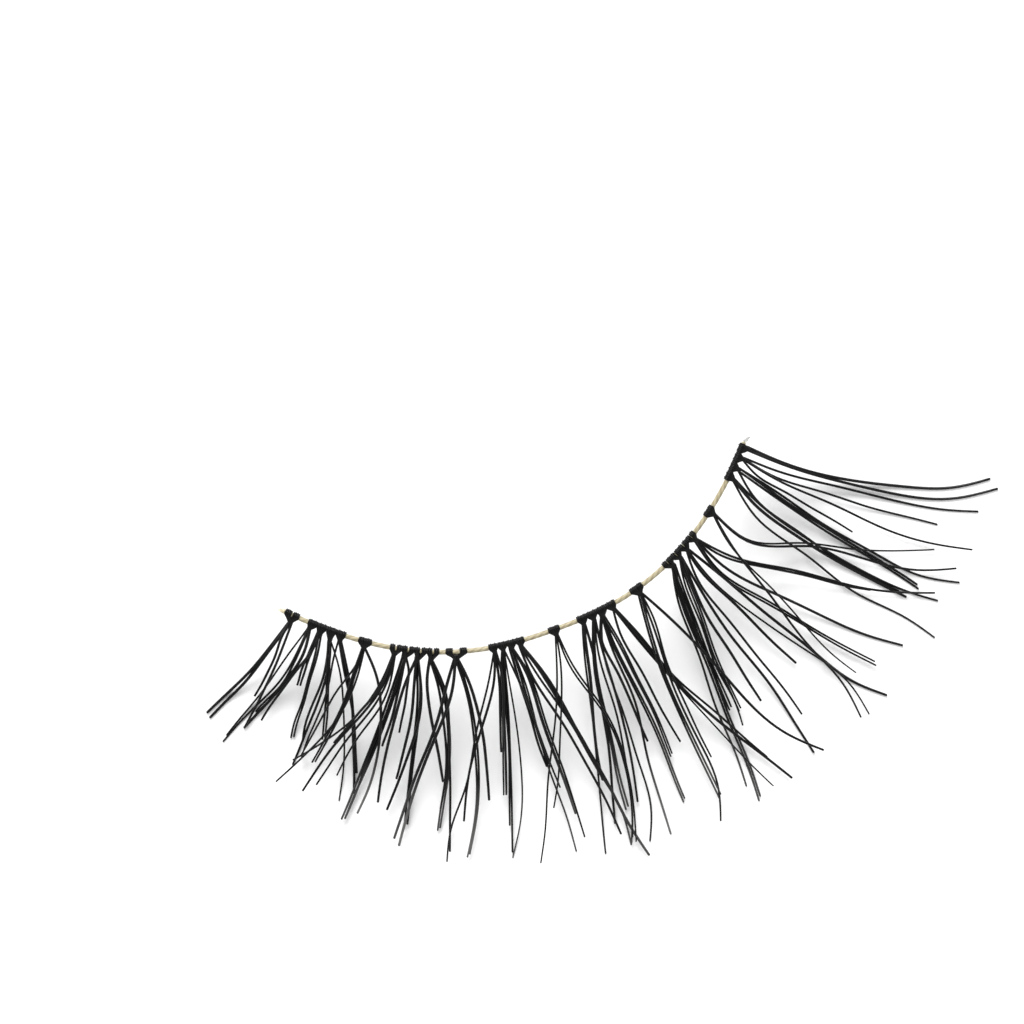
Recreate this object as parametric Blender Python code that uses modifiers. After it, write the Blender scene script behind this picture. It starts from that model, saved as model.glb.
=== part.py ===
"""A strip of false eyelashes: black hair tufts knotted along a curved thread.

The strip lies on a table, hair tips down, with its band thread held up by the
hairs.  X runs along the band's chord from the inner to the outer corner of the
eye, the hairs leave the band toward -Y, and Z is up.  The object's origin is
under the middle of its bounding box, on the table.
"""

import math
from typing import NamedTuple

import bpy
import bmesh
import numpy as np
from mathutils import Matrix, Vector

MM = 0.001

# Band: a thread bent to the curve of an eyelid.
BAND_CHORD = 27.2 * MM
BAND_SAG = 6.16 * MM
BAND_FULLNESS = 2.43  # 2 is a parabola; more is flatter in the middle
BAND_SKEW = 1.025  # over 1 moves the deepest point toward the outer corner
BAND_HEIGHT = 3.3 * MM  # the thread's centre above the table
THREAD_DIAMETER = 0.28 * MM

# Knots: each tuft is folded over the thread and pulled through its own loop.
KNOT_DIAMETER = 0.58 * MM
KNOT_CLEARANCE = 0.03 * MM  # between the thread and a knot's bore
KNOT_GAP = 0.05 * MM  # between neighbouring knots of a row
SINGLE_KNOT_WIDTH = 0.92 * MM
ROW_PITCH = 0.60 * MM
GATHER_REACH = 0.42 * MM  # from the thread's centre to where a tuft's hairs gather
GATHER_SPREAD = 0.16 * MM  # sideways between the outermost locks of a gather
GATHER_LIFT = 0.06 * MM  # upward between the same two

# Locks: hairs that lie together, drawn as one tapering strand.
HAIR_LENGTH = 14.4 * MM
LEG_DIAMETER = 0.15 * MM
LOCK_DIAMETER = 0.22 * MM
TIP_DIAMETER = 0.12 * MM
LAYER_STEP = 0.28 * MM  # between hairs that cross over each other
LAYER_RUN = 1.6 * MM  # distance from the band over which the layers part

# Fall of the hairs from the band to the table.
INNER_FALL = 6.0 * MM
OUTER_FALL = 12.3 * MM
INNER_FALL_CURVE = 1.5
OUTER_FALL_CURVE = 3.2
FALL_BLEND_END = 0.40  # share of the band where the inner fall has become the outer one
CURVE_BLEND_START = 0.65

BAND_SAMPLES = 241
BAND_SEGMENTS = 40
BAND_SIDES = 8
KNOT_SIDES = 8
LOCK_SIDES = 6
THIN_LOCK_SIDES = 4
THIN_LOCK = 0.95  # girth share under which a lock has fewer sides
LONG_LOCK = 0.60  # from this share of HAIR_LENGTH a lock has one more station
SHORT_STATIONS = (0.0, 0.18, 0.50, 1.0)
LONG_STATIONS = (0.0, 0.13, 0.36, 0.66, 1.0)


class Section(NamedTuple):
    """A knot by itself, or a row of knots side by side."""

    name: str
    along: float  # share of the band's length at the section's middle
    knots: int
    pitch: float  # share of ROW_PITCH


SECTIONS = (
    Section("tuft_01", 0.020, 1, 1.00),
    Section("tuft_02", 0.087, 4, 0.93),
    Section("tuft_03", 0.159, 1, 1.00),
    Section("tuft_04", 0.249, 4, 1.15),
    Section("tuft_05", 0.324, 1, 1.00),
    Section("tuft_06", 0.415, 4, 0.85),
    Section("tuft_07", 0.504, 1, 1.00),
    Section("tuft_08", 0.586, 4, 0.98),
    Section("tuft_09", 0.669, 1, 1.00),
    Section("tuft_10", 0.773, 4, 1.07),
    Section("tuft_11", 0.860, 1, 1.00),
    Section("tuft_12", 0.960, 4, 0.93),
)


class Lock(NamedTuple):
    """One lock of hair, seen from above."""

    reach: float  # gather to tip, as a share of HAIR_LENGTH
    bearing: float  # degrees from straight away, toward the outer corner
    bow: float  # sideways bow as a share of the reach, toward the outer corner
    girth: float  # share of LOCK_DIAMETER and TIP_DIAMETER
    layer: int  # how many crossing locks it passes over


LOCKS = {
    "tuft_01": (Lock(0.48, -62, 0.02, 1.0, 0), Lock(0.44, -44, 0.03, 0.9, 1)),
    "tuft_02_1": (Lock(0.54, -58, 0.03, 0.9, 0), Lock(0.46, -53, 0.06, 0.9, 0)),
    "tuft_02_2": (
        Lock(0.39, -54, 0.00, 0.7, 1),
        Lock(0.20, -42, 0.00, 1.1, 0),
        Lock(0.41, -35, 0.02, 0.9, 0),
    ),
    "tuft_02_3": (
        Lock(0.50, -37, 0.06, 0.9, 0),
        Lock(0.38, -24, 0.00, 1.2, 0),
        Lock(0.61, -17, 0.07, 0.6, 0),
    ),
    "tuft_02_4": (Lock(0.47, -38, 0.04, 0.7, 1), Lock(0.58, -14, 0.03, 1.2, 0)),
    "tuft_03": (
        Lock(0.61, -53, 0.09, 0.6, 2),
        Lock(0.49, -44, 0.03, 1.1, 2),
        Lock(0.64, -22, 0.11, 0.9, 2),
    ),
    "tuft_04_1": (
        Lock(0.57, -63, 0.10, 0.7, 3),
        Lock(0.62, -53, 0.03, 1.0, 3),
        Lock(0.51, -46, 0.05, 0.8, 3),
    ),
    "tuft_04_2": (
        Lock(0.67, -41, 0.01, 1.2, 1),
        Lock(0.36, -34, 0.02, 0.9, 1),
        Lock(0.29, -25, 0.05, 0.8, 0),
    ),
    "tuft_04_3": (
        Lock(0.57, -36, -0.04, 0.8, 2),
        Lock(0.59, -31, 0.07, 0.9, 1),
        Lock(0.64, -24, 0.02, 1.1, 0),
    ),
    "tuft_04_4": (
        Lock(0.47, -14, -0.04, 0.9, 1),
        Lock(0.66, -18, 0.08, 1.1, 0),
        Lock(0.74, -14, 0.05, 0.9, 1),
    ),
    "tuft_05": (
        Lock(0.74, -39, 0.01, 1.0, 2),
        Lock(0.75, -37, 0.02, 1.0, 2),
        Lock(0.77, -17, 0.07, 1.1, 1),
        Lock(0.56, -7, 0.06, 0.9, 1),
    ),
    "tuft_06_1": (
        Lock(0.82, -33, 0.00, 0.7, 2),
        Lock(0.66, -30, 0.00, 0.9, 2),
        Lock(0.39, -16, 0.02, 0.9, 1),
    ),
    "tuft_06_2": (
        Lock(0.57, -19, 0.00, 1.1, 0),
        Lock(0.74, -18, 0.01, 0.9, 0),
        Lock(0.81, -17, 0.06, 0.6, 0),
    ),
    "tuft_06_3": (
        Lock(0.48, -3, -0.01, 1.2, 0),
        Lock(0.82, -2, 0.01, 0.6, 0),
        Lock(0.69, 1, 0.01, 0.9, 1),
    ),
    "tuft_06_4": (
        Lock(0.82, 8, 0.00, 0.8, 1),
        Lock(0.95, 11, 0.03, 1.1, 1),
    ),
    "tuft_07": (
        Lock(0.89, -24, 0.02, 0.7, 2),
        Lock(0.67, -21, 0.04, 0.7, 2),
        Lock(0.80, 3, 0.07, 0.8, 2),
    ),
    "tuft_08_1": (
        Lock(0.89, -14, 0.00, 0.8, 0),
        Lock(0.62, -14, 0.01, 1.1, 0),
        Lock(0.78, -11, 0.02, 1.0, 0),
    ),
    "tuft_08_2": (
        Lock(0.75, -10, 0.00, 1.1, 0),
        Lock(0.87, -11, 0.01, 0.8, 0),
        Lock(0.72, -6, 0.02, 0.8, 0),
    ),
    "tuft_08_3": (
        Lock(0.89, -8, 0.02, 0.8, 0),
        Lock(0.51, 0, 0.01, 1.1, 0),
        Lock(0.78, 4, 0.01, 1.2, 0),
    ),
    "tuft_08_4": (
        Lock(0.58, 6, -0.03, 0.7, 0),
        Lock(0.83, 26, -0.04, 0.8, 1),
        Lock(0.95, 26, -0.05, 0.9, 1),
    ),
    "tuft_09": (
        Lock(0.89, 1, -0.02, 1.2, 2),
        Lock(0.69, 4, -0.01, 0.8, 2),
        Lock(0.94, 29, -0.05, 0.9, 2),
    ),
    "tuft_10_1": (
        Lock(0.91, -1, -0.01, 0.8, 0),
        Lock(0.98, 1, 0.00, 1.2, 0),
        Lock(0.61, 2, 0.00, 1.1, 0),
    ),
    "tuft_10_2": (
        Lock(0.64, 1, -0.03, 1.1, 1),
        Lock(0.63, 10, -0.01, 1.1, 0),
        Lock(0.91, 14, 0.01, 0.9, 0),
    ),
    "tuft_10_3": (
        Lock(0.77, 15, -0.01, 0.9, 1),
        Lock(0.60, 24, -0.01, 1.1, 0),
        Lock(0.95, 28, 0.00, 0.7, 1),
        Lock(0.96, 34, -0.03, 1.0, 0),
    ),
    "tuft_10_4": (
        Lock(0.85, 35, -0.05, 0.9, 1),
        Lock(0.90, 43, -0.05, 0.9, 0),
        Lock(0.95, 57, -0.05, 0.9, 1),
    ),
    "tuft_11": (
        Lock(0.98, 16, -0.01, 0.8, 2),
        Lock(0.83, 22, -0.04, 0.7, 2),
        Lock(0.97, 58, -0.07, 1.0, 1),
    ),
    "tuft_12_1": (
        Lock(0.98, 31, -0.06, 0.8, 0),
        Lock(0.81, 36, -0.05, 1.1, 0),
        Lock(0.91, 40, -0.06, 0.9, 0),
    ),
    "tuft_12_2": (Lock(0.83, 38, -0.01, 1.1, 0), Lock(0.96, 43, -0.05, 0.9, 0)),
    "tuft_12_3": (
        Lock(0.51, 37, -0.03, 0.9, 1),
        Lock(0.95, 48, -0.05, 0.9, 1),
        Lock(0.80, 51, -0.03, 0.8, 0),
        Lock(0.93, 57, -0.03, 0.9, 0),
    ),
    "tuft_12_4": (Lock(0.95, 64, -0.06, 1.0, 0), Lock(0.99, 61, -0.07, 0.9, 0)),
}


def clear_scene():
    for obj in list(bpy.data.objects):
        bpy.data.objects.remove(obj, do_unlink=True)


def smooth_step(value):
    value = np.clip(value, 0.0, 1.0)
    return value * value * (3.0 - 2.0 * value)


def band_curve():
    """The band's centre line in plan, and the distance along it at each point."""
    across = np.linspace(0.0, 1.0, BAND_SAMPLES)
    depth = 1.0 - np.abs(2.0 * across**BAND_SKEW - 1.0) ** BAND_FULLNESS
    points = np.column_stack([BAND_CHORD * across, -BAND_SAG * depth])
    steps = np.hypot(*np.diff(points, axis=0).T)
    return points, np.concatenate([[0.0], np.cumsum(steps)])


BAND_POINTS, BAND_ARC = band_curve()
BAND_LENGTH = BAND_ARC[-1]


def band_place(distance):
    """The point at this distance along the band, and the unit vector along the band there."""
    ends = np.array([distance - KNOT_DIAMETER / 4, distance + KNOT_DIAMETER / 4])
    x = np.interp([distance, *ends], BAND_ARC, BAND_POINTS[:, 0])
    y = np.interp([distance, *ends], BAND_ARC, BAND_POINTS[:, 1])
    along = Vector((x[2] - x[1], y[2] - y[1], 0.0)).normalized()
    return Vector((x[0], y[0], 0.0)), along


def hair_heights(plan, layer, radii):
    """Heights of the hairs' centres at these points in plan.

    All hairs fall along one surface that drops from the band to the table, so
    two that cross are kept apart by their layers alone.
    """
    offsets = np.linalg.norm(plan[:, None, :] - BAND_POINTS[None, :, :], axis=2)
    nearest = offsets.argmin(axis=1)
    distance = offsets.min(axis=1)
    along = BAND_ARC[nearest] / BAND_LENGTH
    blend = smooth_step(along / FALL_BLEND_END)
    fall = INNER_FALL + (OUTER_FALL - INNER_FALL) * blend
    steepen = smooth_step((along - CURVE_BLEND_START) / (1.0 - CURVE_BLEND_START))
    power = INNER_FALL_CURVE + (OUTER_FALL_CURVE - INNER_FALL_CURVE) * steepen
    left = np.clip(1.0 - distance / fall, 0.0, 1.0) ** power
    raised = layer * LAYER_STEP * np.clip(distance / LAYER_RUN, 0.0, 1.0)
    return radii + (BAND_HEIGHT - radii) * left + raised


def leaving_angle(lock):
    """The direction in which a lock leaves the gather, as a bearing in degrees."""
    return lock.bearing + math.degrees(math.atan(math.pi * lock.bow))


def lock_path(lock, start, gather):
    """Points and radii of a lock: its leg from the knot, the gather, then its run to the tip."""
    heading = math.radians(lock.bearing)
    ahead = np.array([math.sin(heading), -math.cos(heading)])
    aside = np.array([math.cos(heading), math.sin(heading)])
    stations = SHORT_STATIONS if lock.reach < LONG_LOCK else LONG_STATIONS
    share = np.array(stations)[:, None]
    run = lock.reach * HAIR_LENGTH
    plan = np.array(gather[:2]) + run * (share * ahead + lock.bow * np.sin(math.pi * share) * aside)
    radii = lock.girth * (LOCK_DIAMETER + (TIP_DIAMETER - LOCK_DIAMETER) * share[:, 0]) / 2
    heights = hair_heights(plan, lock.layer, radii) + gather[2] * (1.0 - share[:, 0])
    points = [Vector((*start[:2], BAND_HEIGHT))]
    points += [Vector((x, y, z)) for (x, y), z in zip(plan, heights)]
    return points, [LEG_DIAMETER / 2, *radii]


def new_material(name, colour, roughness):
    material = bpy.data.materials.new(name)
    material.use_nodes = True
    shader = material.node_tree.nodes["Principled BSDF"]
    shader.inputs["Base Color"].default_value = (*colour, 1.0)
    shader.inputs["Roughness"].default_value = roughness
    shader.inputs["Metallic"].default_value = 0.0
    return material


def tube_mesh(name, points, radii, sides, tilt=0.0):
    """A closed tube along these points: a bevelled curve made a mesh, its caps welded on."""
    curve = bpy.data.curves.new(name, "CURVE")
    curve.dimensions = "3D"
    curve.bevel_depth = 1.0
    curve.bevel_resolution = (sides - 4) // 2
    curve.use_fill_caps = True
    spline = curve.splines.new("POLY")
    spline.points.add(len(points) - 1)
    for spot, point, radius in zip(spline.points, points, radii):
        spot.co = (*point, 1.0)
        spot.radius = radius
        spot.tilt = tilt
    guide = bpy.data.objects.new(name, curve)
    bpy.context.scene.collection.objects.link(guide)
    graph = bpy.context.evaluated_depsgraph_get()
    mesh = bpy.data.meshes.new_from_object(guide.evaluated_get(graph))
    bpy.data.objects.remove(guide, do_unlink=True)
    bpy.data.curves.remove(curve)
    weld(mesh)
    return mesh


def weld(mesh):
    work = bmesh.new()
    work.from_mesh(mesh)
    bmesh.ops.remove_doubles(work, verts=work.verts, dist=1e-7)
    bmesh.ops.recalc_face_normals(work, faces=work.faces)
    work.to_mesh(mesh)
    work.free()


def collar_object(name, width, centre, along):
    """A knot's collar: a ring with two wraps of hair, turned about the thread."""
    bore = THREAD_DIAMETER / 2 + KNOT_CLEARANCE
    wall = KNOT_DIAMETER / 2 - bore
    outer = ((0.50, 0.45), (0.26, 1.0), (0.0, 0.6), (-0.26, 1.0), (-0.50, 0.45))
    ring = [(bore + wall * rise, width * place) for place, rise in outer]
    ring += [(bore, -width / 2), (bore, width / 2)]
    profile = bpy.data.meshes.new(name)
    edges = [(i, (i + 1) % len(ring)) for i in range(len(ring))]
    profile.from_pydata([(x, 0.0, z) for x, z in ring], edges, [])
    collar = bpy.data.objects.new(name, profile)
    screw = collar.modifiers.new("turn", "SCREW")
    screw.steps = KNOT_SIDES
    screw.render_steps = KNOT_SIDES
    screw.use_merge_vertices = True
    screw.merge_threshold = 1e-6
    turn = along.to_track_quat("Z", "Y").to_matrix().to_4x4()
    collar.matrix_world = Matrix.Translation(centre) @ turn
    return collar


def tuft_object(name, width, distance, strip, hair):
    """A tuft: the knot's collar with its locks joined on."""
    place, along = band_place(distance)
    centre = place + Vector((0.0, 0.0, BAND_HEIGHT))
    away = Vector((along.y, -along.x, 0.0))
    collar = collar_object(name, width, centre, along)
    strip.objects.link(collar)
    root = (THREAD_DIAMETER / 2 + KNOT_CLEARANCE + KNOT_DIAMETER / 2) / 2
    locks = sorted(LOCKS[name], key=leaving_angle)
    helpers = []
    for index, lock in enumerate(locks):
        side = 0.5 - index / (len(locks) - 1)
        start = place + root * away + 0.52 * side * width * along
        gather = place + GATHER_REACH * away - side * GATHER_SPREAD * along
        gather.z = side * GATHER_LIFT
        sides = LOCK_SIDES if lock.girth > THIN_LOCK else THIN_LOCK_SIDES
        mesh = tube_mesh(f"{name}_lock", *lock_path(lock, start, gather), sides)
        helper = bpy.data.objects.new(f"{name}_lock", mesh)
        bpy.context.scene.collection.objects.link(helper)
        helpers.append(helper)
        union = collar.modifiers.new(f"lock_{index}", "BOOLEAN")
        union.operation = "UNION"
        union.solver = "MANIFOLD"
        union.object = helper
    graph = bpy.context.evaluated_depsgraph_get()
    fused = bpy.data.meshes.new_from_object(collar.evaluated_get(graph))
    fused.name = name
    collar.modifiers.clear()
    collar.data = fused
    for helper in helpers:
        bpy.data.objects.remove(helper, do_unlink=True)
    fused.materials.clear()
    fused.materials.append(hair)
    fused.shade_smooth()
    fused.set_sharp_from_angle(angle=math.radians(50))
    return collar


def band_object(strip, thread):
    """The bare thread that every knot is tied to."""
    stations = np.linspace(0.0, BAND_LENGTH, BAND_SEGMENTS + 1)
    points = []
    for distance in stations:
        place, _ = band_place(distance)
        points.append(place + Vector((0.0, 0.0, BAND_HEIGHT)))
    radii = [THREAD_DIAMETER / 2] * len(points)
    # Half a side's turn sets one row of facets upright, facing the eyelid.
    mesh = tube_mesh("band_thread", points, radii, BAND_SIDES, tilt=math.pi / BAND_SIDES)
    mesh.materials.append(thread)
    mesh.shade_smooth()
    band = bpy.data.objects.new("band_thread", mesh)
    strip.objects.link(band)
    return band


def stand_on_origin(pieces, strip):
    """Parents the pieces to an empty, and moves it so that the origin is under their middle."""
    bpy.context.view_layer.update()
    corners = []
    for piece in pieces:
        corners += [piece.matrix_world @ vertex.co for vertex in piece.data.vertices]
    low = Vector(min(corner[axis] for corner in corners) for axis in range(3))
    high = Vector(max(corner[axis] for corner in corners) for axis in range(3))
    holder = bpy.data.objects.new("strip_origin", None)
    strip.objects.link(holder)
    for piece in pieces:
        piece.parent = holder
    holder.location = (-(low.x + high.x) / 2, -(low.y + high.y) / 2, -low.z)


def main():
    clear_scene()
    strip = bpy.data.collections.new("false_eyelash_strip")
    bpy.context.scene.collection.children.link(strip)
    hair = new_material("hair_black", (0.012, 0.011, 0.011), 0.38)
    thread = new_material("thread_tan", (0.60, 0.50, 0.29), 0.45)
    pieces = [band_object(strip, thread)]
    for section in SECTIONS:
        pitch = section.pitch * ROW_PITCH
        width = SINGLE_KNOT_WIDTH if section.knots == 1 else pitch - KNOT_GAP
        for index in range(section.knots):
            offset = (index - (section.knots - 1) / 2) * pitch
            name = section.name if section.knots == 1 else f"{section.name}_{index + 1}"
            distance = section.along * BAND_LENGTH + offset
            pieces.append(tuft_object(name, width, distance, strip, hair))
    stand_on_origin(pieces, strip)


main()
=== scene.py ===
"""Finishes a strip of false eyelashes: hairs, knots, thread, floor, lights and camera.

The frame holds the strip as solids, one thread and thirty tufts.  Here every
tuft becomes single hairs folded over the thread in a hitch knot, and the thread
gets its plies, a frayed end and a flake of dried glue.  Lengths are in
millimetres up to the moment that a mesh is made.
"""

import logging
import math
from dataclasses import dataclass, field
from enum import Enum
from typing import NamedTuple

import bpy
import numpy as np
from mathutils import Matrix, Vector


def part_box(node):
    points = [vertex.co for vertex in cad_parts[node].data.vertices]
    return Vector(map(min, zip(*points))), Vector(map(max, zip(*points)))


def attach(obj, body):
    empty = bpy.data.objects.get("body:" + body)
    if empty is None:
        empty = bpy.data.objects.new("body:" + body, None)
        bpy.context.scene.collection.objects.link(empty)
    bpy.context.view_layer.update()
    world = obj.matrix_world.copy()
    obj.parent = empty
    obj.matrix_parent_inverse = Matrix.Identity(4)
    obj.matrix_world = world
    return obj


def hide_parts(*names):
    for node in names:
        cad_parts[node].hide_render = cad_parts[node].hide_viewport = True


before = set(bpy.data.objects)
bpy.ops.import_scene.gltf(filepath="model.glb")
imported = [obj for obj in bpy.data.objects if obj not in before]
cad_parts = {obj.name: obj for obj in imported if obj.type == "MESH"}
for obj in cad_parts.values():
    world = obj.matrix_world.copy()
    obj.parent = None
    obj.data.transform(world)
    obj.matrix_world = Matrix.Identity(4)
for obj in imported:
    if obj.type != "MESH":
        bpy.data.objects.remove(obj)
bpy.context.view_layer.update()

MM = 0.001
SEED = 12
LOG = logging.getLogger("eyelash_strip")
Array = np.ndarray


class TipSheen(Enum):
    """How much painted sheen lightens the last part of a hair."""

    BLACK = 0.0
    SOFT = 0.45
    GREY = 1.0


class Hitch(Enum):
    """How many strands each of a knot's two wraps holds."""

    ROW = 3
    SINGLE = 4


class Hair(NamedTuple):
    """One hair seen from above, from the knot's gather to the tip."""

    reach: float  # mm
    bearing: float  # degrees from straight away, toward the outer corner
    sway: tuple[float, float, float, float]  # sideways at SWAY_STATIONS, percent of the reach
    width: float  # mm; a wide one is two hairs side by side
    layer: int  # how many crossing hairs it passes over
    # painted sheen on the hair's last part, standing in for light reflected along it
    tip: TipSheen = TipSheen.BLACK


class Knot(NamedTuple):
    """A tuft's knot: where its hairs gather, and the hairs."""

    gather: float  # mm from the thread
    lean: float  # mm along the thread from the knot's middle
    hairs: tuple[Hair, ...]


class Section(NamedTuple):
    """A knot by itself, or a row of knots side by side, on the thread."""

    name: str
    along: float  # share of the thread's length
    knots: int
    width: float  # mm; of a single knot, or from knot to knot in a row


SWAY_STATIONS = (0.15, 0.40, 0.65, 0.85)

SECTIONS = (
    Section("tuft_01", 0.020, 1, 0.860),
    Section("tuft_02", 0.087, 4, 0.558),
    Section("tuft_03", 0.159, 1, 0.760),
    Section("tuft_04", 0.249, 4, 0.690),
    Section("tuft_05", 0.324, 1, 1.180),
    Section("tuft_06", 0.415, 4, 0.510),
    Section("tuft_07", 0.504, 1, 0.660),
    Section("tuft_08", 0.586, 4, 0.588),
    Section("tuft_09", 0.669, 1, 0.800),
    Section("tuft_10", 0.773, 4, 0.642),
    Section("tuft_11", 0.860, 1, 0.700),
    Section("tuft_12", 0.960, 4, 0.558),
)

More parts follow.
